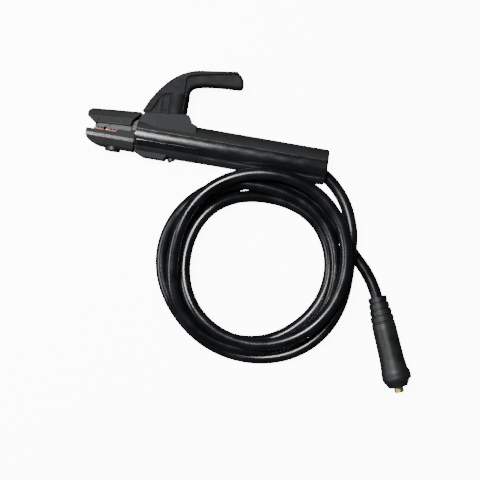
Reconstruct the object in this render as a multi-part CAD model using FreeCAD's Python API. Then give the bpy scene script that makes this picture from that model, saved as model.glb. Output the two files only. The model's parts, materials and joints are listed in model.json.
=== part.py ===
"""Electrode holder for stick welding, with its lead and plug.

Frame: +X along the grip towards the lead, +Y towards the lever, +Z up from the
surface that the holder lies on, on its side.  Everything is drawn with the grip's
axis on X and the grip's front face at x = 0, and moved to the frame at the end.
"""
import FreeCAD
import Part
import math
import os

V = FreeCAD.Vector

# ---------------------------------------------------------------- driving dimensions, mm
GRIP_LENGTH = 182.5
GRIP_R = 17.0
GRIP_WALL = 2.6
RIDGE = 0.35
CABLE_R = 5.75
ELECTRODE_R = 1.6
JAW_GAP = 0.15
JAW_LENGTH = 47.2
JAW_HALF = 8.2
COVER_HALF = 12.0
PIVOT_X = 8.5
PIVOT_Y = 12.5
PIVOT_R = 3.0
RUNNING = 0.05
LEVER_HALF = 11.4
LEVER_CORE_HALF = 8.6
SPRING_X = 32.0
SPRING_CASE_R = 11.2
SPRING_WIRE_R = 0.9
COIL_R = 80.0
COIL_SECTION_R = 16.0
PLUG_LENGTH = 87.5
PLUG_PIN_R = 4.5
PLUG_PIN_LENGTH = 19.0
COLLAR_R = 13.3

# ---------------------------------------------------------------- worked out from them
BORE_R = GRIP_R - GRIP_WALL
FLOOR = -GRIP_R
RIDGE_Y = 5.3
BELLY_END = 59.0
TOWER_END = 55.0
BARREL_Y = -2.0
BARREL_R = 7.0
BARREL_END = 62.0
SOCKET_R = 4.2
CONDUCTOR_R = 3.9
MOUTH_Y = 0.3 + JAW_GAP / 2.0
SEAT_X = -30.0
COVER_SCREW_X = -21.0
COVER_SCREW_R = 7.5
GRIP_SCREW_X = 18.5
GRIP_SCREW_HEAD_R = 4.2
PAD_Y = -GRIP_R - 3.2
EAR_R = 5.2
EAR_IN = 6.2
EAR_OUT = 9.4
CLIP_THICK = 0.5
HUB_HALF = EAR_IN - 0.3
UPPER_HALF = JAW_HALF - 0.4
TOWER_FRONT = 3.0
TOWER_HALF = 14.4
TOWER_IN = SPRING_CASE_R + 0.8
TOWER_TRAVEL = 3.4
SPRING_BOTTOM = BARREL_Y + BARREL_R + 1.0
SPRING_TOP = 39.0
COIL_X = 133.4
COIL_Y = -104.3
COIL_TOP = FLOOR + 26.0
LOOP_Y = COIL_Y + 7.0
LOOP_R = COIL_R + 0.6
CLAMP_X = (50.0, 57.0)
LOCK_FOOT = (31.6, -BORE_R + 2.6, 0)
LOCK_TIP = (36.6, -GRIP_R - 2.9, 0)
LOCK_R = 3.6
TOP_SCREW_X = -24.0
TOP_SCREW_SEAT = 16.6
LEVER_SCREW_R = 1.8
LEVER_SCREW_Y = 32.0
SPRING_POCKET_R = 8.8
LEAD_START = (BARREL_END + 2, BARREL_Y, 0.0)
LEAD_FREE = (143.7, 0.0, 0.0)

# Distances along the plug, from the sleeve's rear end.
RING_PITCH = 6.2
RINGS = 4
RING_R = 9.0
RING_GROWTH = 0.72
RING_LAND = 4.3
RING_GROOVE = 0.6
STRIPPED = 14.0
CONTACT_START = 26.0
PLUG_CLAMP_X = (38.0, 48.0)
CONTACT_END = 58.0
CONTACT_R = 7.6
COLLAR_START = 73.0
PIN_START = 74.0
PIN_END = PIN_START + PLUG_PIN_LENGTH
PIN_RECESS_R = 8.2
LAST_RING = (RINGS - 1) * RING_PITCH + RING_LAND
LAST_RING_R = RING_R + (RINGS - 1) * RING_GROWTH

# The plug lies on its last ring and on the edge of its collar.
PLUG_TILT = math.degrees(math.atan((COLLAR_R - LAST_RING_R) / (COLLAR_START - LAST_RING)))
PLUG_TURN = -67.1
PLUG_X = 251.5
PLUG_Y = -113.2
PLUG_LEAN = math.radians(PLUG_TILT)
PLUG_Z = FLOOR + COLLAR_R * math.cos(PLUG_LEAN) - COLLAR_START * math.sin(PLUG_LEAN)


# ---------------------------------------------------------------- helpers
def cylinder(radius, start, end):
    """A round bar between two points."""
    line = V(*end) - V(*start)
    return Part.makeCylinder(radius, line.Length, V(*start), line)


def block(x0, x1, y0, y1, half, middle=0.0):
    """A box, given in X and Y, that reaches half its width each side of middle in Z."""
    return Part.makeBox(x1 - x0, y1 - y0, 2 * half, V(x0, y0, middle - half))


def prism(edges, half, middle=0.0):
    """A closed outline in the XY plane, thickened both ways."""
    face = Part.Face(Part.Wire(edges))
    face.translate(V(0, 0, middle - half))
    return face.extrude(V(0, 0, 2 * half))


def polygon(points):
    """Straight edges through points, closed."""
    corners = [V(x, y, 0) for x, y in points]
    return Part.makePolygon(corners + corners[:1]).Edges


def segment(a, b):
    """A straight edge in the XY plane."""
    return Part.makeLine(V(a[0], a[1], 0), V(b[0], b[1], 0))


def arc(a, b, c):
    """A circular edge through three points of the XY plane."""
    return Part.Arc(V(a[0], a[1], 0), V(b[0], b[1], 0), V(c[0], c[1], 0)).toShape()


def curve(points):
    """A smooth edge through points of the XY plane."""
    line = Part.BSplineCurve()
    line.interpolate([V(x, y, 0) for x, y in points])
    return line.toShape()


def turned(profile):
    """A solid of revolution on the X axis.  The profile holds (distance along the axis, radius)."""
    corners = [V(along, radius, 0) for along, radius in profile]
    face = Part.Face(Part.makePolygon(corners + corners[:1]))
    return face.revolve(V(0, 0, 0), V(1, 0, 0), 360)


def rounded(shape, radius, wanted):
    """Rounds the edges that wanted() picks."""
    edges = [edge for edge in shape.Edges if wanted(edge)]
    return shape.makeFillet(radius, edges)


def along_z(edge):
    """True for a straight edge that runs in Z."""
    first, last = edge.Vertexes[0].Point, edge.Vertexes[-1].Point
    return abs(first.z - last.z) > 1.0 and abs(first.x - last.x) + abs(first.y - last.y) < 0.01


def on_side(edge, half):
    """True for an edge that lies in a flat side, half the width from the middle plane."""
    return all(abs(abs(corner.Point.z) - half) < 0.01 for corner in edge.Vertexes)


# ---------------------------------------------------------------- grip
def tower_plan(half_front, half, x_front, x_round, x_end, y0, y1):
    """The tower's plan, narrower at the front and drawn out round at the back."""
    def at(x, z):
        return V(x, y0, z)
    middle = (x_round + x_end) / 2.0
    bulge = half * math.sqrt(0.75)
    back = Part.BSplineCurve()
    back.interpolate(
        [at(x_round, half), at(middle, bulge), at(x_end, 0), at(middle, -bulge), at(x_round, -half)],
        InitialTangent=V(1, 0, 0), FinalTangent=V(-1, 0, 0))
    edges = [
        Part.makeLine(at(x_front, -half_front), at(x_front, half_front)),
        Part.makeLine(at(x_front, half_front), at(16, half)),
        Part.makeLine(at(16, half), at(x_round, half)),
        back.toShape(),
        Part.makeLine(at(x_round, -half), at(16, -half)),
        Part.makeLine(at(16, -half), at(x_front, -half_front)),
    ]
    return Part.Face(Part.Wire(edges)).extrude(V(0, y1 - y0, 0))


def tower_outside():
    """The flared cup on the grip that the lever's spring case moves in."""
    side = prism([
        segment((-1.0, 0), (-1.0, 8.5)),
        segment((-1.0, 8.5), (3.0, 19.6)),
        segment((3.0, 19.6), (45.5, 25.4)),
        curve([(45.5, 25.4), (47.6, 23.4), (49.4, 19.4), (52.0, 17.6), (TOWER_END, GRIP_R)]),
        segment((TOWER_END, GRIP_R), (TOWER_END, 0)),
        segment((TOWER_END, 0), (-1.0, 0)),
    ], TOWER_HALF)
    return side.common(tower_plan(11.4, TOWER_HALF, -1.0, 34.0, 72.0, 0, 30))


def tower_inside():
    """Room for the spring case, the arm and the ears through the lever's whole travel."""
    case = Part.makeCylinder(TOWER_IN, 40, V(SPRING_X, -4, 0), V(0, 1, 0))
    swung = Part.makeCylinder(TOWER_IN, 40, V(SPRING_X + TOWER_TRAVEL, -4, 0), V(0, 1, 0))
    between = block(SPRING_X, SPRING_X + TOWER_TRAVEL, -4, 36, TOWER_IN)
    front = block(TOWER_FRONT, SPRING_X, -4, 36, EAR_OUT + 1.2)
    arm_slot = block(-5, 6, 1.9, 36, HUB_HALF + 0.9)
    return case.fuse([swung, between, front, arm_slot])


def parting_ridge(side):
    """The raised line where the two mould halves met, on one side of the tube."""
    skin = cylinder(GRIP_R + RIDGE, (1.0, 0, 0), (GRIP_LENGTH - 4.0, 0, 0))
    return skin.common(block(0, GRIP_LENGTH, RIDGE_Y - 0.4, RIDGE_Y + 0.4, GRIP_R / 2.0, side * GRIP_R))


def belly():
    """The thicker skin under the grip's front, which ends in a step."""
    skin = Part.makeCone(GRIP_R + 0.9, GRIP_R + 0.3, BELLY_END - 2.0, V(2.0, 0, 0), V(1, 0, 0))
    return skin.common(block(0, BELLY_END, -GRIP_R - 2, -5.0, GRIP_R))


def thumb_rail():
    """The strip under the grip, with cross cuts for a firm hold."""
    start = BELLY_END + 3
    strip = cylinder(GRIP_R + 0.25, (start, 0, 0), (GRIP_LENGTH - 6, 0, 0))
    strip = strip.common(block(start, GRIP_LENGTH - 6, -GRIP_R - 1, -12.0, GRIP_R))
    cuts = [block(x, x + 1.2, -GRIP_R - 2, -GRIP_R + 0.15, 9) for x in range(66, 112, 3)]
    return strip.cut(cuts)


def screw_pad():
    """The pad under the grip's front, around the screw that holds the jaw in."""
    pad = prism(polygon([(1, -9), (1, -GRIP_R), (8, PAD_Y), (29, PAD_Y), (31, -GRIP_R), (31, -9)]), 9.6)
    return rounded(pad, 1.5, lambda edge: on_side(edge, 9.6) and edge.CenterOfMass.y < -GRIP_R + 0.5)


def handle_shell():
    tube = cylinder(GRIP_R, (0, 0, 0), (GRIP_LENGTH, 0, 0))
    tube = rounded(tube, 2.2, lambda edge: edge.CenterOfMass.x > GRIP_LENGTH - 1 and len(edge.Vertexes) == 1)
    outer = [tower_outside(), screw_pad(), belly(), thumb_rail(), parting_ridge(1), parting_ridge(-1)]
    shell = tube.fuse(outer)
    bore = cylinder(BORE_R, (-2, 0, 0), (GRIP_LENGTH + 2, 0, 0))
    flare = Part.makeCone(BORE_R, BORE_R + 2.0, 6.0, V(GRIP_LENGTH - 5.5, 0, 0), V(1, 0, 0))
    shell = shell.cut([bore, flare, tower_inside()])
    boss = cylinder(5.0, (GRIP_SCREW_X, -BORE_R - 1.0, 0), (GRIP_SCREW_X, BARREL_Y - 3.0, 0))
    rib = block(GRIP_SCREW_X - 9, GRIP_SCREW_X + 9, -BORE_R - 0.5, BARREL_Y - 4.0, 1.2)
    boss = boss.fuse(rib).cut(jaw_stem())
    shell = shell.fuse(boss)
    screw_way = cylinder(2.0, (GRIP_SCREW_X, PAD_Y - 1, 0), (GRIP_SCREW_X, 0, 0))
    sink = cylinder(GRIP_SCREW_HEAD_R + 0.2, (GRIP_SCREW_X, PAD_Y - 1, 0), (GRIP_SCREW_X, PAD_Y + 3.2, 0))
    return shell.cut([screw_way.cut(jaw_stem()), sink, lock_screw_body(0.05)])


def grip_screw():
    head = cylinder(GRIP_SCREW_HEAD_R, (GRIP_SCREW_X, PAD_Y + 0.8, 0), (GRIP_SCREW_X, PAD_Y + 3.2, 0))
    slot = block(GRIP_SCREW_X - 5, GRIP_SCREW_X + 5, PAD_Y, PAD_Y + 1.9, 0.6)
    shank = cylinder(2.0, (GRIP_SCREW_X, PAD_Y + 3.2, 0), (GRIP_SCREW_X, BARREL_Y - 2.5, 0))
    return head.cut(slot).fuse(shank)


def lock_screw_body(extra):
    return cylinder(LOCK_R + extra, LOCK_FOOT, LOCK_TIP)


def lock_screw():
    """The slanted screw behind the pad, with a rounded insulated head."""
    body = lock_screw_body(0.0)
    body = rounded(body, 1.6, lambda edge: edge.CenterOfMass.y < -GRIP_R and len(edge.Vertexes) == 1)
    slot = cylinder(0.6, (LOCK_TIP[0], LOCK_TIP[1], -5), (LOCK_TIP[0], LOCK_TIP[1], 5))
    return body.cut(slot)


# ---------------------------------------------------------------- lower jaw
def jaw_stem():
    """The part of the lower jaw that runs back into the grip, without its holes."""
    neck = block(0, 24, BARREL_Y - 5.5, 0.3, JAW_HALF - 0.6)
    barrel = cylinder(BARREL_R, (14, BARREL_Y, 0), (BARREL_END, BARREL_Y, 0))
    spring_pad = block(20, 44, BARREL_Y, BARREL_Y + BARREL_R, 7.5)
    return neck.fuse([barrel, spring_pad])


def teeth(y, up):
    """Cross cuts in a jaw's gripping face."""
    cuts = []
    for x in range(-40, -10, 3):
        if abs(x + 0.4 - SEAT_X) > ELECTRODE_R + 1.0:
            cuts.append(prism(polygon([(x, y), (x + 0.8, y + 0.7 * up), (x + 1.6, y)]), JAW_HALF + 1))
    return cuts


def seat_notch():
    return cylinder(ELECTRODE_R, (SEAT_X, MOUTH_Y, -JAW_HALF - 2), (SEAT_X, MOUTH_Y, JAW_HALF + 2))


def ear(side):
    middle = side * (EAR_IN + EAR_OUT) / 2.0
    half = (EAR_OUT - EAR_IN) / 2.0
    plate = block(PIVOT_X - EAR_R, PIVOT_X + EAR_R, -3, PIVOT_Y, half, middle)
    top = cylinder(EAR_R, (PIVOT_X, PIVOT_Y, middle - half), (PIVOT_X, PIVOT_Y, middle + half))
    return plate.fuse(top)


def lower_jaw():
    top = MOUTH_Y - JAW_GAP / 2.0
    plate = block(-JAW_LENGTH + 6.5, 2, -7.5, top, JAW_HALF)
    plate = rounded(plate, 1.2, lambda edge: along_z(edge) and edge.CenterOfMass.x < -20
                    and edge.CenterOfMass.y < 0)
    jaw = plate.fuse([jaw_stem(), ear(1), ear(-1)])
    pivot = cylinder(PIVOT_R, (PIVOT_X, PIVOT_Y, -12), (PIVOT_X, PIVOT_Y, 12))
    socket = cylinder(SOCKET_R, (24, BARREL_Y, 0), (BARREL_END + 1, BARREL_Y, 0))
    clamp_holes = [cylinder(2.5, (x, BARREL_Y, 0), (x, BARREL_Y - BARREL_R - 1, 0)) for x in CLAMP_X]
    cover_hole = cylinder(2.5, (COVER_SCREW_X, -9, 0), (COVER_SCREW_X, -2.5, 0))
    screw_hole = cylinder(2.0, (GRIP_SCREW_X, -12, 0), (GRIP_SCREW_X, BARREL_Y - 2.5, 0))
    return jaw.cut([pivot, socket, cover_hole, screw_hole, seat_notch()] + clamp_holes + teeth(top, -1))


def cable_clamp_screws():
    """Two socket grub screws that press the ferrule against the socket's far wall."""
    screws = []
    for x in CLAMP_X:
        top = BARREL_Y - SOCKET_R
        screw = cylinder(2.5, (x, top, 0), (x, BARREL_Y - BARREL_R - 0.4, 0))
        key = cylinder(1.2, (x, top - 1.2, 0), (x, BARREL_Y - BARREL_R - 1, 0))
        screws.append(screw.cut(key))
    return Part.makeCompound(screws)


def ring_sleeve(outer, inner, start, end):
    return cylinder(outer, start, end).cut(cylinder(inner, start, end))


def strand_bundle(radius, start, end):
    """Seven strands laid together, which just fill a ring of the given radius."""
    strand = radius / 3.0
    line = V(*end) - V(*start)
    across = line.cross(V(0, 0, 1))
    across.normalize()
    other = line.cross(across)
    other.normalize()
    bundle = cylinder(strand * 1.02, start, end)
    for step in range(6):
        turn = math.radians(60 * step)
        shift = (across * math.cos(turn) + other * math.sin(turn)) * strand * 2
        bundle = bundle.fuse(cylinder(strand * 0.999, tuple(V(*start) + shift), tuple(V(*end) + shift)))
    return bundle


def cable_ferrule():
    return ring_sleeve(SOCKET_R, CONDUCTOR_R, (26, BARREL_Y, 0), (BARREL_END - 0.5, BARREL_Y, 0))


def cable_strands():
    return strand_bundle(CONDUCTOR_R, (26, BARREL_Y, 0), (BARREL_END + 1, BARREL_Y, 0))


def cable_in_grip():
    return cylinder(CABLE_R, LEAD_START, LEAD_FREE)


def lower_jaw_cover():
    """The insulating trough under the lower jaw, cut low at the electrode's seat."""
    nose = -JAW_LENGTH
    side = prism([
        segment((nose, -2.4), (nose, -8.0)),
        curve([(nose, -8.0), (-44.9, -11.6), (-39.0, -15.2), (-30.0, -16.6)]),
        segment((-30.0, -16.6), (-1.4, -16.9)),
        segment((-1.4, -16.9), (-1.4, 1.5)),
        segment((-1.4, 1.5), (-16.5, 1.4)),
        segment((-16.5, 1.4), (-19.5, -1.4)),
        segment((-19.5, -1.4), (nose + 2.0, -1.6)),
        arc((nose + 2.0, -1.6), (nose + 0.6, -1.8), (nose, -2.4)),
    ], COVER_HALF)
    section = Part.Face(Part.makePolygon([V(nose - 1, y, z) for y, z in (
        (3, -11.6), (-5.2, -11.6), (-8.2, -12), (-10.4, -11.0), (-14.6, -8.8), (-17.4, -4.5),
        (-17.4, 4.5), (-14.6, 8.8), (-10.4, 11.0), (-8.2, 12), (-5.2, 11.6), (3, 11.6), (3, -11.6))]))
    body = side.common(section.extrude(V(JAW_LENGTH + 6, 0, 0)))
    trough = block(-JAW_LENGTH + 6.5, 0, -7.5, 4, JAW_HALF)
    hollow = block(-JAW_LENGTH + 9, 0, -13.4, -7.4, 6.4)
    post = cylinder(COVER_SCREW_R + 1.6, (COVER_SCREW_X, -16.3, 0), (COVER_SCREW_X, -7.5, 0))
    post = post.common(section.extrude(V(JAW_LENGTH + 6, 0, 0)))
    hole = cylinder(2.6, (COVER_SCREW_X, -20, 0), (COVER_SCREW_X, -5, 0))
    sink = cylinder(COVER_SCREW_R + 0.3, (COVER_SCREW_X, -20, 0), (COVER_SCREW_X, -12.6, 0))
    return body.cut([trough, hollow]).fuse(post).cut([hole, sink])


def lower_cover_screw():
    head = cylinder(COVER_SCREW_R, (COVER_SCREW_X, -12.6, 0), (COVER_SCREW_X, -19.5, 0))
    head = rounded(head, 1.2, lambda edge: edge.CenterOfMass.y < -19 and len(edge.Vertexes) == 1)
    slot = block(COVER_SCREW_X - 9, COVER_SCREW_X + 9, -21, -17.7, 0.8)
    shank = cylinder(2.5, (COVER_SCREW_X, -12.6, 0), (COVER_SCREW_X, -2.5, 0))
    return head.cut(slot).fuse(shank)


# ---------------------------------------------------------------- upper jaw and lever
ARM_TAIL = [(3.2, 15.5), (6.6, 20.0), (13.0, 39.5), (18.2, 39.5), (13.6, 15.0)]


def arm_outline():
    tail = prism(polygon(ARM_TAIL), 3.0)
    hub = cylinder(EAR_R - 0.2, (PIVOT_X, PIVOT_Y, -HUB_HALF), (PIVOT_X, PIVOT_Y, HUB_HALF))
    return tail, hub


def upper_jaw():
    low = MOUTH_Y + JAW_GAP / 2.0
    bar = block(-40, -5.5, low, 7.4, UPPER_HALF)
    bar = rounded(bar, 1.2, lambda edge: along_z(edge) and edge.CenterOfMass.x < -20
                  and edge.CenterOfMass.y > 5)
    neck = prism(polygon([(-14, 3.0), (-14, 7.4), (-4, 11.5), (5, 18.0), (9, 7.0), (-3, 2.8)]), HUB_HALF)
    tail, hub = arm_outline()
    jaw = bar.fuse([neck, hub, tail])
    bore = cylinder(PIVOT_R + RUNNING, (PIVOT_X, PIVOT_Y, -9), (PIVOT_X, PIVOT_Y, 9))
    cover_hole = cylinder(1.8, (TOP_SCREW_X, 2.8, 0), (TOP_SCREW_X, 8, 0))
    lever_hole = cylinder(LEVER_SCREW_R, *lever_screw_line())
    return jaw.cut([bore, cover_hole, lever_hole, seat_notch()] + teeth(low, 1))


def lever_screw_line():
    return (7.6, LEVER_SCREW_Y, 0), (15.0, LEVER_SCREW_Y, 0)


def upper_jaw_cover():
    """The insulating hood over the upper jaw, open below and behind."""
    side = prism([
        segment((0.9, 21.4), (-43.2, 17.7)),
        arc((-43.2, 17.7), (-46.6, 15.9), (-48.0, 11.6)),
        segment((-48.0, 11.6), (-47.5, 9.0)),
        segment((-47.5, 9.0), (-39.6, 3.4)),
        segment((-39.6, 3.4), (-37.6, 5.0)),
        segment((-37.6, 5.0), (-6.5, 6.6)),
        segment((-6.5, 6.6), (-5.6, 11.4)),
        segment((-5.6, 11.4), (-3.2, 14.6)),
        segment((-3.2, 14.6), (0.7, 18.8)),
        segment((0.7, 18.8), (0.9, 21.4)),
    ], COVER_HALF)
    slope = math.atan2(3.5, 42.7)
    section = Part.Face(Part.makePolygon([V(-52, y, z) for y, z in (
        (-3, -12), (9.6, -12), (14.6, -9.6), (18.2, -6.0), (18.2, 6.0), (14.6, 9.6), (9.6, 12),
        (-3, 12), (-3, -12))]))
    tunnel = section.extrude(V(54, 54 * math.tan(slope), 0))
    body = side.common(tunnel)
    jaw_room = block(-40, 0, 0, 7.4, UPPER_HALF)
    hollow = prism(polygon([(-42.0, 7.3), (-41.0, 13.6), (0, 17.4), (0, 7.3)]), 7.2)
    neck_room = prism(polygon([(-14.5, 6), (-14.5, 12.5), (0, 17.4), (0, 6)]), JAW_HALF + 1.4)
    post = cylinder(4.4, (TOP_SCREW_X, 7.4, 0), (TOP_SCREW_X, 15.5, 0))
    panels = [prism(polygon([(-37.4, 5.4), (-36.6, 9.6), (-16.0, 10.8), (-15.2, 6.9)]), 0.8, side * 12.0)
              for side in (1, -1)]
    hole = cylinder(1.9, (TOP_SCREW_X, 5, 0), (TOP_SCREW_X, 22, 0))
    sink = cylinder(3.6, (TOP_SCREW_X, TOP_SCREW_SEAT, 0), (TOP_SCREW_X, 24, 0))
    return body.cut([jaw_room, hollow, neck_room] + panels).fuse(post).cut([hole, sink])


def upper_cover_screw():
    head = cylinder(3.4, (TOP_SCREW_X, TOP_SCREW_SEAT, 0), (TOP_SCREW_X, TOP_SCREW_SEAT + 2.0, 0))
    slot = block(TOP_SCREW_X - 4, TOP_SCREW_X + 4, TOP_SCREW_SEAT + 1.0, TOP_SCREW_SEAT + 3, 0.5)
    shank = cylinder(1.8, (TOP_SCREW_X, 2.8, 0), (TOP_SCREW_X, TOP_SCREW_SEAT, 0))
    return head.cut(slot).fuse(shank)


LEVER_FRONT = [(2.0, 22.2), (8.3, 35.5), (16.9, 48.2), (27.3, 58.8), (36.5, 64.6), (47.0, 68.4)]
LEVER_TOP = (84.0, 73.7)
LEVER_TIP = (91.8, 63.2)


def lever_core():
    side = [
        curve(LEVER_FRONT),
        segment(LEVER_FRONT[-1], LEVER_TOP),
        arc(LEVER_TOP, (88.9, 70.0), LEVER_TIP),
        arc(LEVER_TIP, (91.2, 60.2), (87.5, 58.4)),
        curve([(87.5, 58.4), (74.0, 57.6), (60.0, 56.2), (50.0, 54.2), (44.8, 51.6), (42.6, 47.0)]),
        segment((42.6, 47.0), (42.6, 44.0)),
        segment((42.6, 44.0), (39.4, 42.0)),
        segment((39.4, 42.0), (39.4, 18.0)),
        segment((39.4, 18.0), (16.8, 18.0)),
        segment((16.8, 18.0), (15.4, 20.4)),
        segment((15.4, 20.4), (6.6, 20.8)),
        segment((6.6, 20.8), LEVER_FRONT[0]),
    ]
    core = prism(side, LEVER_CORE_HALF)
    return rounded(core, 3.0, lambda edge: on_side(edge, LEVER_CORE_HALF) and edge.CenterOfMass.x > 47
                   and edge.CenterOfMass.y < 72)


def lever_band():
    """The wider rim of the lever, which follows its front and top."""
    inner = [(86.0, 71.6), (52.0, 64.8), (40.0, 61.8), (37.6, 59.5), (38.0, 44.8), (25.0, 43.2),
             (19.6, 41.6), (16.2, 38.0), (9.8, 24.2)]
    side = [
        curve(LEVER_FRONT),
        segment(LEVER_FRONT[-1], LEVER_TOP),
        segment(LEVER_TOP, inner[0]),
    ]
    side += [segment(inner[i], inner[i + 1]) for i in range(len(inner) - 1)]
    side.append(segment(inner[-1], LEVER_FRONT[0]))
    band = prism(side, LEVER_HALF)
    return rounded(band, 1.0, lambda edge: on_side(edge, LEVER_HALF) and edge.Length > 30
                   and edge.CenterOfMass.y > 40)


def spring_line(y0, y1):
    return (SPRING_X, y0, 0), (SPRING_X, y1, 0)


def lever_shell():
    case = cylinder(SPRING_CASE_R, *spring_line(17.0, 44.0))
    ribs = [block(16.6, 18.8, 24.0, 42.0, 0.9, side * (LEVER_CORE_HALF + 0.6)) for side in (1, -1)]
    shell = lever_core().fuse([lever_band(), case] + ribs)
    pocket = cylinder(SPRING_POCKET_R, *spring_line(16.0, SPRING_TOP + 1.6))
    tail, hub = arm_outline()
    hub_room = cylinder(EAR_R + 1.1, (PIVOT_X, PIVOT_Y, -14), (PIVOT_X, PIVOT_Y, 14))
    head_room = cylinder(3.4, (0, LEVER_SCREW_Y, 0), lever_screw_line()[0])
    shank_room = cylinder(LEVER_SCREW_R, *lever_screw_line())
    return shell.cut([pocket, tail, hub, hub_room, head_room, shank_room])


def lever_screw():
    start, end = lever_screw_line()
    head = cylinder(3.2, (start[0] - 2.0, start[1], 0), start)
    slot = block(start[0] - 3, start[0] - 1.1, start[1] - 4, start[1] + 4, 0.5)
    return head.cut(slot).fuse(cylinder(LEVER_SCREW_R, start, end))


def upper_spring_seat():
    cap = cylinder(SPRING_POCKET_R, *spring_line(SPRING_TOP, SPRING_TOP + 1.6))
    return cap.fuse(cylinder(4.6, *spring_line(SPRING_TOP - 4.0, SPRING_TOP)))


def lower_spring_seat():
    base = cylinder(8.2, *spring_line(BARREL_Y + BARREL_R, SPRING_BOTTOM))
    return base.fuse(cylinder(4.6, *spring_line(SPRING_BOTTOM, SPRING_BOTTOM + 3.5)))


def compression_spring():
    wire = SPRING_WIRE_R
    height = SPRING_TOP - SPRING_BOTTOM - 2 * wire
    radius = 6.4
    helix = Part.makeHelix(height / 8.0, height, radius)
    profile = Part.Wire(Part.makeCircle(wire, V(radius, 0, 0), V(0, 1, 0)))
    spring = Part.Wire(helix.Edges).makePipeShell([profile], True, True)
    spring.rotate(V(0, 0, 0), V(1, 0, 0), -90)
    spring.translate(V(SPRING_X, SPRING_BOTTOM + wire, 0))
    return spring


def pivot_pin():
    return cylinder(PIVOT_R, (PIVOT_X, PIVOT_Y, -EAR_OUT - 0.9), (PIVOT_X, PIVOT_Y, EAR_OUT + 0.9)).cut(
        [clip_groove(side) for side in (1, -1)])


def clip_groove(side):
    start = side * EAR_OUT
    end = start + side * CLIP_THICK
    return ring_sleeve(PIVOT_R + 1, PIVOT_R - 0.4, (PIVOT_X, PIVOT_Y, start), (PIVOT_X, PIVOT_Y, end))


def pivot_clips():
    """Two spring clips in the pin's grooves, one outside each ear."""
    clips = []
    for side in (1, -1):
        start = side * EAR_OUT
        end = start + side * CLIP_THICK
        ring = ring_sleeve(PIVOT_R + 1.3, PIVOT_R - 0.4, (PIVOT_X, PIVOT_Y, start), (PIVOT_X, PIVOT_Y, end))
        middle = (start + end) / 2.0
        gap = block(PIVOT_X - 1.5, PIVOT_X + 1.5, PIVOT_Y, PIVOT_Y + 6, CLIP_THICK, middle)
        clips.append(ring.cut(gap))
    return Part.makeCompound(clips)


# ---------------------------------------------------------------- lead
def plug_point(along):
    """A point on the plug's axis, measured from the sleeve's rear end."""
    flat = along * math.cos(PLUG_LEAN)
    turn = math.radians(PLUG_TURN)
    rise = along * math.sin(PLUG_LEAN)
    return (PLUG_X + flat * math.cos(turn), PLUG_Y + flat * math.sin(turn), PLUG_Z + rise)


# The free lead's straight runs meet at these points, and an arc rounds each meeting.
HOLDER_ROUTE = [
    (143.7, 0.0, 0.0), (161.5, 0.0, 0.0), (178.7, -4.7, 0.0), (194.0, -14.0, 0.0),
    (206.1, -27.7, 0.6), (214.2, -44.2, 1.8), (218.7, -61.6, 2.6),
]
PLUG_ROUTE = [
    (221.6, -75.5, -11.2), (236.5, -89.4, -9.9), plug_point(-6.0), plug_point(STRIPPED),
]


def arc_radius(before, corner, after):
    """0.45 of the shorter run, over the tangent of half the turn."""
    run_in = corner - before
    run_out = after - corner
    turn = run_in.getAngle(run_out)
    return 0.45 * min(run_in.Length, run_out.Length) / math.tan(turn / 2.0)


def lead_tube(name, route):
    """A tube of straight runs that tangent arcs join.  Prints its radii and its volume's truth."""
    points = [V(*point) for point in route]
    edges = []
    radii = []
    last = points[0]
    for before, corner, after in zip(points, points[1:], points[2:]):
        radius = arc_radius(before, corner, after)
        radii.append(round(radius, 1))
        way_in = (corner - before).normalize()
        way_out = (after - corner).normalize()
        half_turn = way_in.getAngle(way_out) / 2.0
        reach = radius * math.tan(half_turn)
        start = corner - way_in * reach
        end = corner + way_out * reach
        to_centre = (way_out - way_in).normalize()
        middle = corner + to_centre * (radius / math.cos(half_turn) - radius)
        edges.append(Part.makeLine(last, start))
        edges.append(Part.Arc(start, middle, end).toShape())
        last = end
    edges.append(Part.makeLine(last, points[-1]))
    path = Part.Wire(edges)
    profile = Part.Wire(Part.makeCircle(CABLE_R, points[0], points[1] - points[0]))
    tube = path.makePipeShell([profile], True, False)
    share = tube.Volume / (math.pi * CABLE_R ** 2 * path.Length)
    print(name, "radii", radii, "length", round(path.Length, 1), "volume ratio", round(share, 4))
    return tube


def cable_tail_holder():
    return lead_tube("cable_tail_holder", HOLDER_ROUTE)


def cable_tail_plug():
    return lead_tube("cable_tail_plug", PLUG_ROUTE)


def cable_coil():
    """The coil's outer shape: a rounded ring, with the top loop leaning on the grip's flank."""
    low = FLOOR
    high = COIL_TOP
    inner = COIL_R - COIL_SECTION_R
    outer = COIL_R + COIL_SECTION_R
    soft = 4.5
    section = [(inner, low + soft), (inner + soft, low), (outer - soft, low), (outer, low + soft),
               (outer, high - soft - 5), (outer - soft - 3, high), (inner + soft + 3, high),
               (inner, high - soft - 5)]
    corners = [V(radius, 0, z) for radius, z in section]
    ring = Part.Face(Part.makePolygon(corners + corners[:1])).revolve(V(0, 0, 0), V(0, 0, 1), 360)
    ring.translate(V(COIL_X, COIL_Y, 0))
    loop = Part.makeTorus(LOOP_R, CABLE_R + 1.0)
    loop.rotate(V(0, 0, 0), V(1, 0, 0), 5.0)
    loop.translate(V(COIL_X, LOOP_Y, 9.0))
    grip_room = cylinder(GRIP_R + 1.6, (-20, 0, 0), (260, 0, 0))
    return ring.fuse(loop).cut(grip_room)


# ---------------------------------------------------------------- plug
def on_plug(shape):
    """Moves a shape drawn along X from the origin to the plug's place."""
    shape.rotate(V(0, 0, 0), V(0, 1, 0), -PLUG_TILT)
    shape.rotate(V(0, 0, 0), V(0, 0, 1), PLUG_TURN)
    shape.translate(V(PLUG_X, PLUG_Y, PLUG_Z))
    return shape


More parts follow.
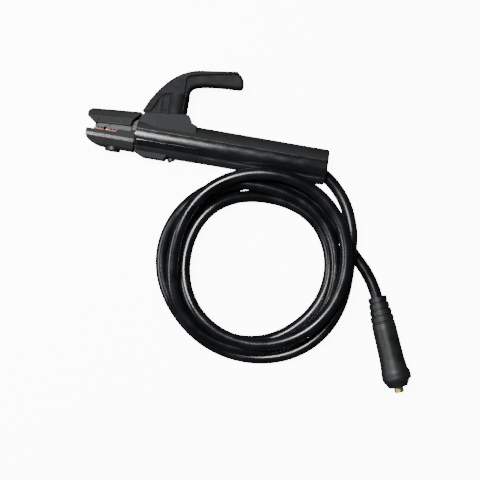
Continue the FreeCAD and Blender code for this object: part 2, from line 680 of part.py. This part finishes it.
def plug_sleeve():
    """The rubber sleeve: a ringed tail, a long body and a domed collar."""
    outside = [(0, 0), (0, RING_R - 0.8)]
    for ring in range(RINGS):
        start = ring * RING_PITCH
        radius = RING_R + RING_GROWTH * ring
        outside += [(start, radius - 0.45), (start + 1.2, radius), (start + RING_LAND, radius),
                    (start + RING_LAND + 0.6, radius - RING_GROOVE), (start + 5.9, radius - RING_GROOVE)]
    outside += [(25.2, 11.2), (30.0, 11.5), (50.0, 11.7), (60.0, 11.9), (66.0, 12.35), (70.0, 12.7),
                (COLLAR_START, COLLAR_R), (78.5, COLLAR_R + 0.1), (80.5, 12.9), (82.4, 12.0), (84.2, 10.9),
                (85.9, 9.9), (PLUG_LENGTH, 9.1), (PLUG_LENGTH, 0)]
    sleeve = turned(outside)
    bump = block(72.5, 81.5, 8, COLLAR_R + 0.9, 3.6)
    bump = rounded(bump, 1.8, lambda edge: edge.CenterOfMass.y > COLLAR_R)
    seam = prism(polygon([(30, 10.5), (30, 11.55), (60, 12.05), (66, 12.5), (72, 12.9), (72, 10.5)]), 0.35)
    seam.rotate(V(0, 0, 0), V(1, 0, 0), 90)
    lead_way = cylinder(CABLE_R, (-1, 0, 0), (CONTACT_START, 0, 0))
    bell_mouth = Part.makeCone(CABLE_R + 1.2, CABLE_R, 8.0, V(-0.1, 0, 0), V(1, 0, 0))
    contact_way = cylinder(CONTACT_R, (CONTACT_START, 0, 0), (PIN_START, 0, 0))
    pin_way = cylinder(PIN_RECESS_R, (PIN_START, 0, 0), (PLUG_LENGTH + 1, 0, 0))
    sleeve = sleeve.fuse([bump, seam])
    return on_plug(sleeve.cut([lead_way, bell_mouth, contact_way, pin_way]))


def plug_contact():
    """The brass contact: a socket for the ferrule, a shoulder and a plain pin."""
    body = cylinder(CONTACT_R, (CONTACT_START + 2, 0, 0), (PIN_START, 0, 0))
    pin = cylinder(PLUG_PIN_R, (PIN_START, 0, 0), (PIN_END, 0, 0))
    pin = rounded(pin, 0.8, lambda edge: edge.CenterOfMass.x > PIN_END - 0.5 and len(edge.Vertexes) == 1)
    socket = cylinder(SOCKET_R, (CONTACT_START + 1, 0, 0), (CONTACT_END + 2, 0, 0))
    holes = [cylinder(2.5, (x, 0, 0), (x, 0, 9)) for x in PLUG_CLAMP_X]
    return on_plug(body.fuse(pin).cut([socket] + holes))


def plug_clamp_screws():
    screws = []
    for x in PLUG_CLAMP_X:
        screw = cylinder(2.5, (x, 0, SOCKET_R), (x, 0, 7.2))
        screws.append(screw.cut(cylinder(1.2, (x, 0, SOCKET_R + 1.0), (x, 0, 8))))
    return on_plug(Part.makeCompound(screws))


def plug_ferrule():
    return on_plug(ring_sleeve(SOCKET_R, CONDUCTOR_R, (CONTACT_START + 3, 0, 0), (CONTACT_END, 0, 0)))


def plug_strands():
    return on_plug(strand_bundle(CONDUCTOR_R, (STRIPPED + 0.5, 0, 0), (CONTACT_END, 0, 0)))


# ---------------------------------------------------------------- build
HOLDER = {
    "handle_shell": handle_shell,
    "grip_screw": grip_screw,
    "lock_screw": lock_screw,
    "lower_jaw": lower_jaw,
    "cable_clamp_screws": cable_clamp_screws,
    "cable_ferrule": cable_ferrule,
    "cable_strands": cable_strands,
    "cable_in_grip": cable_in_grip,
    "lower_jaw_cover": lower_jaw_cover,
    "lower_cover_screw": lower_cover_screw,
    "pivot_pin": pivot_pin,
    "pivot_clips": pivot_clips,
    "lower_spring_seat": lower_spring_seat,
    "compression_spring": compression_spring,
    "upper_jaw": upper_jaw,
    "upper_jaw_cover": upper_jaw_cover,
    "upper_cover_screw": upper_cover_screw,
    "lever_shell": lever_shell,
    "lever_screw": lever_screw,
    "upper_spring_seat": upper_spring_seat,
}
LEAD = {
    "cable_tail_holder": cable_tail_holder,
    "cable_coil": cable_coil,
    "cable_tail_plug": cable_tail_plug,
    "plug_sleeve": plug_sleeve,
    "plug_contact": plug_contact,
    "plug_clamp_screws": plug_clamp_screws,
    "plug_ferrule": plug_ferrule,
    "plug_strands": plug_strands,
}


def main():
    os.makedirs("parts", exist_ok=True)
    holder = {name: make() for name, make in HOLDER.items()}
    lead = {name: make() for name, make in LEAD.items()}
    box = FreeCAD.BoundBox()
    for shape in holder.values():
        box.add(shape.optimalBoundingBox(False))
    origin = V((box.XMin + box.XMax) / 2.0, (box.YMin + box.YMax) / 2.0, box.ZMin)
    print("origin in drawing units", origin, "size", box.XLength, box.YLength, box.ZLength)
    for name, shape in {**holder, **lead}.items():
        shape.translate(origin * -1)
        shape.exportStep("parts/" + name + ".step")
        print(name, shape.ShapeType, len(shape.Solids), "valid", shape.isValid(), round(shape.Volume, 1))


main()
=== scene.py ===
"""Electrode holder with its lead and plug: the looks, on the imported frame."""
import json
import math

import bpy
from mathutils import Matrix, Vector


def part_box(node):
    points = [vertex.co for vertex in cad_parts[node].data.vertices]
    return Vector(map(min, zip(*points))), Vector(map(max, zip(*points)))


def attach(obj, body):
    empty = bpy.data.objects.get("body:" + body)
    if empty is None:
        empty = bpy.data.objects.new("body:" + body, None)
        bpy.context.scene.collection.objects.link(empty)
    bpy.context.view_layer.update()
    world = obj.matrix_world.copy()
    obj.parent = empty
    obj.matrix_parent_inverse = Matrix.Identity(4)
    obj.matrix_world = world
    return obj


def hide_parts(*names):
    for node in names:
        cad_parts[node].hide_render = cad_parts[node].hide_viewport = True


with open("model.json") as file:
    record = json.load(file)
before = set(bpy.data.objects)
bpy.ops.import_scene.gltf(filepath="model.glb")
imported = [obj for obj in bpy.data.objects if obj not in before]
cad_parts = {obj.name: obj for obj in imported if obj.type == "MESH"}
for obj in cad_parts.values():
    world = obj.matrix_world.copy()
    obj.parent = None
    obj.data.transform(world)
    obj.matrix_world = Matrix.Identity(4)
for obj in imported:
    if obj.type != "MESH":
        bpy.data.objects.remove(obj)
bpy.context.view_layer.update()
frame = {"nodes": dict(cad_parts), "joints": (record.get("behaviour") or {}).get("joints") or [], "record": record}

NODES = frame["nodes"]

# ---------------------------------------------------------------- places, metres
# The drawing's origin is on the grip's axis at its front face.  The pivot gives it in the frame.
MM = 0.001
PIVOT_FROM_ORIGIN = (0.0085, 0.0125)
GRIP_AXIS_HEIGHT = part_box("handle_shell")[1][2] / 2.0
pivot = frame["joints"][0]["pos_m"]
ORIGIN = Vector((pivot[0] - PIVOT_FROM_ORIGIN[0], pivot[1] - PIVOT_FROM_ORIGIN[1], GRIP_AXIS_HEIGHT))


def at(x, y, z):
    """A place given from the drawing's origin."""
    return ORIGIN + Vector((x, y, z))


# ---------------------------------------------------------------- camera
VIEW_MIDDLE = (0.113, -0.08175)
VIEW_DISTANCE = 0.900
VIEW_WIDTH = 0.456
VIEW_ROLL = math.radians(9.8)
SENSOR = 36.0
NEAREST_SEEN = 0.01


def add_camera():
    data = bpy.data.cameras.new("camera")
    data.sensor_width = SENSOR
    data.lens = SENSOR * VIEW_DISTANCE / VIEW_WIDTH
    data.clip_start = NEAREST_SEEN
    camera = bpy.data.objects.new("camera", data)
    camera.location = at(VIEW_MIDDLE[0], VIEW_MIDDLE[1], VIEW_DISTANCE)
    camera.rotation_euler = (0.0, 0.0, VIEW_ROLL)
    bpy.context.scene.collection.objects.link(camera)
    bpy.context.scene.camera = camera


# ---------------------------------------------------------------- lead
LEAD_R = 0.00575
COIL_MIDDLE = (0.1334, -0.1043)
POINTS_PER_TURN = 24
EIGHTH = POINTS_PER_TURN // 8
HOLDER_ROUTE = [
    (0.1545, 0.0, 0.0), (0.1615, 0.0, 0.0), (0.1784, -0.0050, 0.0), (0.1930, -0.0154, 0.0),
    (0.2052, -0.0296, 0.0006), (0.2129, -0.0458, 0.0018), (0.2176, -0.0624, 0.0026),
]
PLUG_ROUTE = [
    (0.2216, -0.0755, -0.0112), (0.2365, -0.0894, -0.0099), (0.24917, -0.10768, -0.00708),
    (0.25694, -0.12608, -0.00623),
]
# Radius and height over the table in mm at every eighth of a turn, clockwise from the coil's right side.
# The first turn starts outermost and comes in.  The second climbs out over the grip's flank.  The third
# comes down innermost, and the last lies on the table and works its way out to the plug.
COIL_TURNS = [
    (85.8, 18.3), (89.2, 11.2), (87.0, 6.0), (87.3, 6.8), (92.4, 7.2), (87.4, 16.8),
    (75.5, 17.2), (76.2, 16.4), (74.2, 17.5), (77.2, 14.4), (78.9, 15.8), (83.5, 18.2),
    (79.8, 25.2), (85.8, 29.0), (88.5, 33.5), (88.5, 31.0), (81.0, 29.6), (75.5, 26.1),
    (72.0, 25.5), (71.0, 22.6), (68.8, 15.8), (70.5, 13.0), (67.0, 6.4), (70.9, 5.9),
    (69.8, 5.8), (68.5, 5.8), (72.8, 5.8), (75.6, 5.8), (78.0, 5.8), (79.6, 5.8),
    (81.0, 5.8), (83.0, 5.8),
]


def between(before, start, end, after, part):
    """A smooth value between start and end."""
    slope_in = (end - before) / 2.0
    slope_out = (after - start) / 2.0
    square = part * part
    cube = square * part
    return ((2 * cube - 3 * square + 1) * start + (cube - 2 * square + part) * slope_in
            + (3 * square - 2 * cube) * end + (cube - square) * slope_out)


def coil_points():
    """The coil's control points, which stand a little outside the line that they make."""
    outside = 4.0 / (3.0 + math.cos(2.0 * math.pi / POINTS_PER_TURN))
    points = []
    last = len(COIL_TURNS) - 1
    for step in range(last * EIGHTH + 1):
        start = min(step // EIGHTH, last - 1)
        part = step / EIGHTH - start
        keys = [COIL_TURNS[max(start - 1, 0)], COIL_TURNS[start], COIL_TURNS[start + 1],
                COIL_TURNS[min(start + 2, last)]]
        radius, height = (MM * between(*(key[item] for key in keys), part) for item in (0, 1))
        angle = -2.0 * math.pi * step / POINTS_PER_TURN
        x = COIL_MIDDLE[0] + radius * outside * math.cos(angle)
        y = COIL_MIDDLE[1] + radius * outside * math.sin(angle)
        points.append((x, y, height - GRIP_AXIS_HEIGHT))
    return points


def add_lead():
    """The whole lead as one spline, from inside the grip to inside the plug's sleeve."""
    route = HOLDER_ROUTE + coil_points() + PLUG_ROUTE
    data = bpy.data.curves.new("lead", "CURVE")
    data.dimensions = "3D"
    spline = data.splines.new("NURBS")
    spline.points.add(len(route) - 1)
    for point, place in zip(spline.points, route):
        point.co = (*at(*place), 1.0)
        point.radius = LEAD_R
    spline.order_u = 3
    spline.use_endpoint_u = True
    spline.resolution_u = 8
    data.bevel_depth = 1.0
    data.bevel_resolution = 8
    data.use_fill_caps = True
    data.twist_mode = "MINIMUM"
    lead = bpy.data.objects.new("lead", data)
    bpy.context.scene.collection.objects.link(lead)
    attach(lead, "grip")
    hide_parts("cable_tail_holder", "cable_coil", "cable_tail_plug")
    return lead


# ---------------------------------------------------------------- materials
# Heights in Y that part glossy from dull moulding, from the grip's axis, metres.
RIDGE_Y = 0.0053
GLOSS_LOW_Y = -0.0105
FACET_LOW_Y = -0.0084
FACET_HIGH_Y = -0.0054
GLOSS_FADE = 0.0004
DULL = 0.78
# The cosines between a face's normal and its bevelled normal where the edge colour starts and where it is full; on
# the moulding that colour is partly scuffing and partly a painted highlight.
EDGE_STARTS = 0.985
EDGE_FULL = 0.86
METAL_EDGE_RADIUS = 0.0004


def new_material(name):
    """A material with its nodes, its links and its shader."""
    material = bpy.data.materials.new(name)
    material.use_nodes = True
    nodes = material.node_tree.nodes
    return material, nodes, material.node_tree.links, nodes["Principled BSDF"]


def noise(nodes, links, scale, detail, stretch=(1.0, 1.0, 1.0)):
    """A noise value in the object's own metres."""
    place = nodes.new("ShaderNodeTexCoord")
    mapping = nodes.new("ShaderNodeMapping")
    mapping.inputs["Scale"].default_value = stretch
    texture = nodes.new("ShaderNodeTexNoise")
    texture.inputs["Scale"].default_value = scale
    texture.inputs["Detail"].default_value = detail
    links.new(place.outputs["Object"], mapping.inputs["Vector"])
    links.new(mapping.outputs["Vector"], texture.inputs["Vector"])
    return texture.outputs["Fac"]


def grey(value):
    return (value, value, value)


def ramp(nodes, links, value, low, high, start=0.35, end=0.65):
    """Spreads a noise value over two colours or, as greys, two numbers."""
    spread = nodes.new("ShaderNodeValToRGB")
    spread.color_ramp.elements[0].position = start
    spread.color_ramp.elements[1].position = end
    spread.color_ramp.elements[0].color = (*low, 1.0)
    spread.color_ramp.elements[1].color = (*high, 1.0)
    links.new(value, spread.inputs["Fac"])
    return spread.outputs["Color"]


def edge_mask(nodes, links, radius, grain):
    """Where an edge is near and the grain lets the edge colour through, and the bevel node that finds the edges.
    """
    bevel = nodes.new("ShaderNodeBevel")
    bevel.inputs["Radius"].default_value = radius
    bevel.samples = 6
    geometry = nodes.new("ShaderNodeNewGeometry")
    dot = nodes.new("ShaderNodeVectorMath")
    dot.operation = "DOT_PRODUCT"
    links.new(bevel.outputs["Normal"], dot.inputs[0])
    links.new(geometry.outputs["Normal"], dot.inputs[1])
    bent = nodes.new("ShaderNodeMapRange")
    bent.inputs["From Min"].default_value = EDGE_STARTS
    bent.inputs["From Max"].default_value = EDGE_FULL
    links.new(dot.outputs["Value"], bent.inputs["Value"])
    mask = nodes.new("ShaderNodeMath")
    mask.operation = "MULTIPLY"
    links.new(bent.outputs["Result"], mask.inputs[0])
    links.new(grain, mask.inputs[1])
    return mask.outputs["Value"], bevel


def mix(nodes, links, factor, first, second):
    """Goes from a linked colour to a fixed one as the factor goes from 0 to 1."""
    blend = nodes.new("ShaderNodeMix")
    blend.data_type = "RGBA"
    links.new(factor, blend.inputs["Factor"])
    links.new(first, blend.inputs["A"])
    blend.inputs["B"].default_value = (*second, 1.0)
    return blend.outputs["Result"]


def bump(nodes, links, layers, base=None):
    """Bump from (value, strength, depth) layers, the coarse one first."""
    normal = base
    for value, strength, depth in layers:
        node = nodes.new("ShaderNodeBump")
        node.inputs["Strength"].default_value = strength
        node.inputs["Distance"].default_value = depth
        links.new(value, node.inputs["Height"])
        if normal is not None:
            links.new(normal, node.inputs["Normal"])
        normal = node.outputs["Normal"]
    return normal


def moulded(name, dark, light, rough, grain_scale, grain_depth, specular=0.5,
            edge_scuff_and_highlight=(0.035, 0.037, 0.04), edge_radius=0.0006):
    """Black moulded plastic: cloudy tone, fine grain, scuffs, and paler edges, partly from scuffing and partly a
    painted highlight along the ridges.
    """
    material, nodes, links, shader = new_material(name)
    cloud = noise(nodes, links, 38.0, 5.0)
    fine = noise(nodes, links, grain_scale, 3.0)
    scuff = noise(nodes, links, 240.0, 6.0, (0.35, 1.0, 1.0))
    colour = ramp(nodes, links, cloud, dark, light)
    edge_weight, bevel = edge_mask(nodes, links, edge_radius, ramp(nodes, links, scuff, grey(0.1), grey(0.75)))
    # Paler edges: scuffing, and where the edge colour is set bright, a painted highlight along the ridges.
    links.new(mix(nodes, links, edge_weight, colour, edge_scuff_and_highlight), shader.inputs["Base Color"])
    roughness = ramp(nodes, links, scuff, grey(rough[0]), grey(rough[1]), 0.3, 0.75)
    links.new(roughness, shader.inputs["Roughness"])
    shader.inputs["Specular IOR Level"].default_value = specular
    layers = [(cloud, 0.25, 0.0006), (fine, 0.5, grain_depth)]
    links.new(bump(nodes, links, layers, bevel.outputs["Normal"]), shader.inputs["Normal"])
    return material


def rubber(name, dark, light, rough, specular):
    """Smooth black sheath: a faint cloud of dust and a slight waviness."""
    material, nodes, links, shader = new_material(name)
    dust = noise(nodes, links, 60.0, 6.0)
    fine = noise(nodes, links, 1400.0, 2.0)
    wave = noise(nodes, links, 22.0, 1.0)
    links.new(ramp(nodes, links, dust, dark, light, 0.4, 0.72), shader.inputs["Base Color"])
    links.new(ramp(nodes, links, dust, grey(rough[0]), grey(rough[1])), shader.inputs["Roughness"])
    shader.inputs["Specular IOR Level"].default_value = specular
    layers = [(wave, 0.3, 0.0012), (fine, 0.35, 0.00004)]
    links.new(bump(nodes, links, layers), shader.inputs["Normal"])
    return material


def metal(name, dark, light, rough, brushed, tarnish, edge=(0.9, 0.88, 0.84)):
    """Bare metal: brushing lines, a tarnish cloud and brighter rubbed edges."""
    material, nodes, links, shader = new_material(name)
    lines = noise(nodes, links, 900.0, 3.0, brushed)
    cloud = noise(nodes, links, 130.0, 5.0)
    colour = ramp(nodes, links, lines, dark, light, 0.3, 0.7)
    stained = mix(nodes, links, ramp(nodes, links, cloud, grey(0.0), grey(0.7), 0.45, 0.8), colour, tarnish)
    grain = ramp(nodes, links, cloud, grey(0.3), grey(0.9))
    edge_weight, bevel = edge_mask(nodes, links, METAL_EDGE_RADIUS, grain)
    links.new(mix(nodes, links, edge_weight, stained, edge), shader.inputs["Base Color"])
    links.new(ramp(nodes, links, lines, grey(rough[0]), grey(rough[1])), shader.inputs["Roughness"])
    shader.inputs["Metallic"].default_value = 1.0
    layers = [(cloud, 0.2, 0.0002), (lines, 0.3, 0.00005)]
    links.new(bump(nodes, links, layers, bevel.outputs["Normal"]), shader.inputs["Normal"])
    return material


def dull_outside(material, low, high):
    """Keeps the gloss in the band between two heights in Y, and makes the moulding dull outside it."""
    nodes = material.node_tree.nodes
    links = material.node_tree.links
    roughness = nodes["Principled BSDF"].inputs["Roughness"]
    glossy = roughness.links[0].from_socket
    half = (high - low) / 2.0
    place = nodes.new("ShaderNodeTexCoord")
    split = nodes.new("ShaderNodeSeparateXYZ")
    offset = nodes.new("ShaderNodeMath")
    offset.operation = "SUBTRACT"
    offset.inputs[1].default_value = at(0.0, low + half, 0.0).y
    distance = nodes.new("ShaderNodeMath")
    distance.operation = "ABSOLUTE"
    step = nodes.new("ShaderNodeMapRange")
    step.inputs["From Min"].default_value = half - GLOSS_FADE
    step.inputs["From Max"].default_value = half + GLOSS_FADE
    links.new(place.outputs["Object"], split.inputs["Vector"])
    links.new(split.outputs["Y"], offset.inputs[0])
    links.new(offset.outputs["Value"], distance.inputs[0])
    links.new(distance.outputs["Value"], step.inputs["Value"])
    links.new(mix(nodes, links, step.outputs["Result"], glossy, grey(DULL)), roughness)


def make_grip_nylon():
    # The bright edge colour is a painted highlight along the grip's edges and parting ridge, over some real
    # scuffing.
    material = moulded("grip_nylon", dark=(0.0022, 0.0026, 0.0034), light=(0.0050, 0.0058, 0.0075),
                       rough=(0.17, 0.28), grain_scale=1500.0, grain_depth=0.00003, specular=0.42,
                       edge_scuff_and_highlight=(0.13, 0.14, 0.15), edge_radius=0.0004)
    dull_outside(material, GLOSS_LOW_Y, RIDGE_Y)
    return material


def make_lever_nylon():
    # The bright edge colour is a painted highlight along the lever's ridges and rib edges, over some real
    # scuffing.
    return moulded("lever_nylon", dark=(0.0028, 0.0031, 0.0036), light=(0.0060, 0.0066, 0.0078),
                   rough=(0.60, 0.76), grain_scale=1500.0, grain_depth=0.00004, specular=0.16,
                   edge_scuff_and_highlight=(0.22, 0.23, 0.24), edge_radius=0.0004)


def make_jaw_insulator():
    # The bright edge colour is a painted highlight along the cover's edges, over some real scuffing.
    material = moulded("jaw_insulator", dark=(0.0030, 0.0033, 0.0038), light=(0.0070, 0.0075, 0.0085),
                       rough=(0.15, 0.24), grain_scale=1300.0, grain_depth=0.00002, specular=0.42,
                       edge_scuff_and_highlight=(0.20, 0.21, 0.22), edge_radius=0.0004)
    dull_outside(material, FACET_LOW_Y, FACET_HIGH_Y)
    return material


def make_screw_insulator():
    return moulded("screw_insulator", dark=(0.0030, 0.0030, 0.0032), light=(0.0060, 0.0060, 0.0066),
                   rough=(0.40, 0.62), grain_scale=1600.0, grain_depth=0.00005, specular=0.35)


def make_jaw_tinned():
    # The tinned jaw is coloured far darker than tinned metal: painted shade where the jaw sits between its covers.
    return metal("jaw_tinned", dark=(0.012, 0.012, 0.013), light=(0.05, 0.05, 0.05), rough=(0.40, 0.60),
                 brushed=(0.2, 1.0, 1.0), tarnish=(0.006, 0.006, 0.006), edge=(0.34, 0.33, 0.31))


def make_jaw_copper():
    # The copper is coloured far darker than bare copper: painted shade where the jaw sits between its covers.
    return metal("jaw_copper", dark=(0.04, 0.014, 0.012), light=(0.12, 0.036, 0.03), rough=(0.36, 0.54),
                 brushed=(0.2, 1.0, 1.0), tarnish=(0.02, 0.01, 0.01), edge=(0.16, 0.05, 0.045))


def make_fixings_steel():
    return metal("fixings_steel", dark=(0.42, 0.43, 0.45), light=(0.66, 0.67, 0.69), rough=(0.24, 0.40),
                 brushed=(1.0, 1.0, 0.2), tarnish=(0.22, 0.20, 0.18))


def make_spring_steel():
    return metal("spring_steel", dark=(0.26, 0.27, 0.29), light=(0.48, 0.49, 0.51), rough=(0.26, 0.42),
                 brushed=(1.0, 0.3, 1.0), tarnish=(0.12, 0.11, 0.10))


def make_seat_fibre():
    return moulded("seat_fibre", dark=(0.10, 0.03, 0.02), light=(0.18, 0.06, 0.04), rough=(0.50, 0.70),
                   grain_scale=900.0, grain_depth=0.0001, edge_scuff_and_highlight=(0.30, 0.16, 0.12))


def make_sleeve_copper():
    return metal("sleeve_copper", dark=(0.55, 0.28, 0.18), light=(0.82, 0.48, 0.34), rough=(0.30, 0.50),
                 brushed=(0.2, 1.0, 1.0), tarnish=(0.25, 0.12, 0.08))


def make_strand_copper():
    return metal("strand_copper", dark=(0.60, 0.30, 0.17), light=(0.88, 0.52, 0.34), rough=(0.22, 0.40),
                 brushed=(0.1, 1.0, 1.0), tarnish=(0.30, 0.14, 0.08))


def make_lead_rubber():
    return rubber("lead_rubber", dark=(0.0022, 0.0026, 0.0034), light=(0.0056, 0.0066, 0.0082),
                  rough=(0.18, 0.30), specular=0.42)


def make_plug_rubber():
    return rubber("plug_rubber", dark=(0.0040, 0.0047, 0.0052), light=(0.0100, 0.0115, 0.0125),
                  rough=(0.36, 0.55), specular=0.40)


def make_plug_brass():
    return metal("plug_brass", dark=(0.78, 0.56, 0.16), light=(0.95, 0.76, 0.32), rough=(0.30, 0.48),
                 brushed=(1.0, 1.0, 0.25), tarnish=(0.50, 0.34, 0.10), edge=(0.98, 0.86, 0.50))


def make_materials():
    """One material per slot of the record."""
    return {
        "grip_nylon": make_grip_nylon(),
        "lever_nylon": make_lever_nylon(),
        "jaw_insulator": make_jaw_insulator(),
        "screw_insulator": make_screw_insulator(),
        "jaw_tinned": make_jaw_tinned(),
        "jaw_copper": make_jaw_copper(),
        "fixings_steel": make_fixings_steel(),
        "spring_steel": make_spring_steel(),
        "seat_fibre": make_seat_fibre(),
        "sleeve_copper": make_sleeve_copper(),
        "strand_copper": make_strand_copper(),
        "lead_rubber": make_lead_rubber(),
        "plug_rubber": make_plug_rubber(),
        "plug_brass": make_plug_brass(),
    }


def paint(obj, material):
    """Gives a piece one material, in place of those that it has."""
    obj.data.materials.clear()
    obj.data.materials.append(material)


def soften(node):
    """Smooth shading on every face.  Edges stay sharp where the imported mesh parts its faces."""
    for face in node.data.polygons:
        face.use_smooth = True


# ---------------------------------------------------------------- light and floor
# Places from the middle of the view, and sizes, in metres, and powers in watts.
KEY_PLACE = (-0.39, 0.24, 1.20)
KEY_SIZE = (0.36, 0.40)
KEY_POWER = 34.0
SIDE_PLACE = (-1.10, -0.30, 0.62)
SIDE_SIZE = (0.80, 0.30)
SIDE_POWER = 9.0
ROOM_GLOW = 0.07
FLOOR_SIZE = 6.0
FLOOR_DROP = 0.0002
FLOOR_GLOW = 10.0
WHITE = (1.0, 1.0, 1.0, 1.0)


def add_area(name, place, size, power):
    """A soft rectangular light that faces the middle of the view."""
    middle = at(VIEW_MIDDLE[0], VIEW_MIDDLE[1], 0.0)
    data = bpy.data.lights.new(name, "AREA")
    data.shape = "RECTANGLE"
    data.size, data.size_y = size
    data.energy = power
    light = bpy.data.objects.new(name, data)
    light.location = middle + Vector(place)
    light.rotation_euler = (-Vector(place)).to_track_quat("-Z", "Y").to_euler()
    bpy.context.scene.collection.objects.link(light)


def add_lights():
    add_area("key", KEY_PLACE, KEY_SIZE, KEY_POWER)
    add_area("side", SIDE_PLACE, SIDE_SIZE, SIDE_POWER)
    world = bpy.data.worlds.new("studio")
    world.use_nodes = True
    background = world.node_tree.nodes["Background"]
    background.inputs["Color"].default_value = WHITE
    background.inputs["Strength"].default_value = ROOM_GLOW
    bpy.context.scene.world = world


def add_floor():
    """A pale floor that glows evenly and doesn't show in the object's gloss."""
    bpy.ops.mesh.primitive_plane_add(size=FLOOR_SIZE, location=(0.0, 0.0, -FLOOR_DROP))
    floor = bpy.context.object
    floor.name = "floor"
    material, nodes, links, shader = new_material("floor")
    tone = ramp(nodes, links, noise(nodes, links, 3.0, 2.0), grey(0.92), grey(0.94))
    links.new(tone, shader.inputs["Base Color"])
    shader.inputs["Roughness"].default_value = 0.9
    shader.inputs["Specular IOR Level"].default_value = 0.1
    shader.inputs["Emission Color"].default_value = WHITE
    shader.inputs["Emission Strength"].default_value = FLOOR_GLOW
    paint(floor, material)
    floor.visible_glossy = False
    floor.visible_diffuse = False


# ---------------------------------------------------------------- build
add_camera()
lead = add_lead()
materials = make_materials()
for part in frame["record"]["subparts"]:
    soften(NODES[part["node"]])
    paint(NODES[part["node"]], materials[part["material_slot"]])
paint(lead, materials["lead_rubber"])
add_lights()
add_floor()
